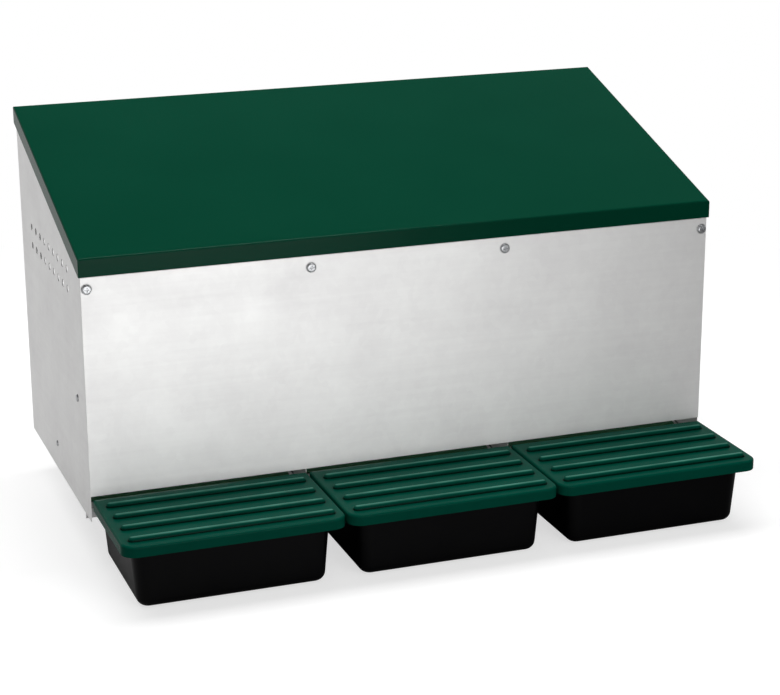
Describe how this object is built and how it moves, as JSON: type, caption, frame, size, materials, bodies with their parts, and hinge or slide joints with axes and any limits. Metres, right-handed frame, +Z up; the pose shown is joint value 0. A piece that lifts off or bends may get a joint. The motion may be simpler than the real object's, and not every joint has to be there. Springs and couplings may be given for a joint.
{
  "type": "chicken nesting box",
  "caption": "Galvanised roll-away nesting box with a sloping green roof that lifts at the rear, side-by-side nests, and black egg tubs with ribbed lids that slide out in front.",
  "frame": {"origin": "on the ground, at the centre of the part's box in plan, with the roof and lids shut and the tubs in", "axes": "+X to the keeper's right, +Y from the egg tubs to the hen entrances, +Z up"},
  "size_m": [0.83, 0.544, 0.5051],
  "materials": {
    "galvanised_sheet": "smooth hot-dip galvanised sheet with faint spangle",
    "green_painted_sheet": "satin dark green paint on steel sheet",
    "black_plastic": "moulded polypropylene, satin",
    "green_plastic": "moulded polypropylene, semi-gloss",
    "grass_mat": "moulded polyethylene grass",
    "zinc_plated_steel": "zinc-plated, satin"
  },
  "bodies": {
    "box": {"side_panel_left": "galvanised_sheet", "side_panel_right": "galvanised_sheet", "front_panel": "galvanised_sheet", "rear_header": "galvanised_sheet", "rear_sill": "galvanised_sheet", "base_pan": "galvanised_sheet", "partition_left": "galvanised_sheet", "partition_right": "galvanised_sheet", "runner_left_left": "galvanised_sheet", "runner_left_right": "galvanised_sheet", "nest_floor_left": "galvanised_sheet", "nest_mat_left": "grass_mat", "runner_middle_left": "galvanised_sheet", "runner_middle_right": "galvanised_sheet", "nest_floor_middle": "galvanised_sheet", "nest_mat_middle": "grass_mat", "runner_right_left": "galvanised_sheet", "runner_right_right": "galvanised_sheet", "nest_floor_right": "galvanised_sheet", "nest_mat_right": "grass_mat", "hinge_fixed_leaf_left": "zinc_plated_steel", "hinge_pin_left": "zinc_plated_steel", "hinge_fixed_leaf_right": "zinc_plated_steel", "hinge_pin_right": "zinc_plated_steel", "cross_rod": "zinc_plated_steel", "cross_rod_caps": "zinc_plated_steel", "front_panel_screws": "zinc_plated_steel", "front_panel_nuts": "zinc_plated_steel", "rear_header_rivets": "zinc_plated_steel", "rear_sill_rivets": "zinc_plated_steel", "floor_rivets": "zinc_plated_steel", "base_rivets": "zinc_plated_steel", "hinge_header_rivets": "zinc_plated_steel"},
    "roof": {"roof_panel": "green_painted_sheet", "hinge_moving_leaf_left": "zinc_plated_steel", "hinge_moving_leaf_right": "zinc_plated_steel", "hinge_roof_rivets": "zinc_plated_steel"},
    "tray_left": {"egg_tub_left": "black_plastic"},
    "lid_left": {"tub_lid_left": "green_plastic"},
    "tray_middle": {"egg_tub_middle": "black_plastic"},
    "lid_middle": {"tub_lid_middle": "green_plastic"},
    "tray_right": {"egg_tub_right": "black_plastic"},
    "lid_right": {"tub_lid_right": "green_plastic"}
  },
  "joints": [
    {"name": "roof_hinge", "type": "hinge", "parent": "box", "child": "roof", "pos_m": [0, 0.268, 0.4785], "axis": [-1, 0, 0], "range_deg": [0, 100]},
    {"name": "tray_slide_left", "type": "slide", "parent": "box", "child": "tray_left", "axis": [0, -1, 0], "range_m": [0, 0.15]},
    {"name": "lid_hinge_left", "type": "hinge", "parent": "tray_left", "child": "lid_left", "pos_m": [-0.275, -0.113, 0.08], "axis": [-1, 0, 0], "range_deg": [0, 60]},
    {"name": "tray_slide_middle", "type": "slide", "parent": "box", "child": "tray_middle", "axis": [0, -1, 0], "range_m": [0, 0.15]},
    {"name": "lid_hinge_middle", "type": "hinge", "parent": "tray_middle", "child": "lid_middle", "pos_m": [0, -0.113, 0.08], "axis": [-1, 0, 0], "range_deg": [0, 60]},
    {"name": "tray_slide_right", "type": "slide", "parent": "box", "child": "tray_right", "axis": [0, -1, 0], "range_m": [0, 0.15]},
    {"name": "lid_hinge_right", "type": "hinge", "parent": "tray_right", "child": "lid_right", "pos_m": [0.275, -0.113, 0.08], "axis": [-1, 0, 0], "range_deg": [0, 60]}
  ]
}
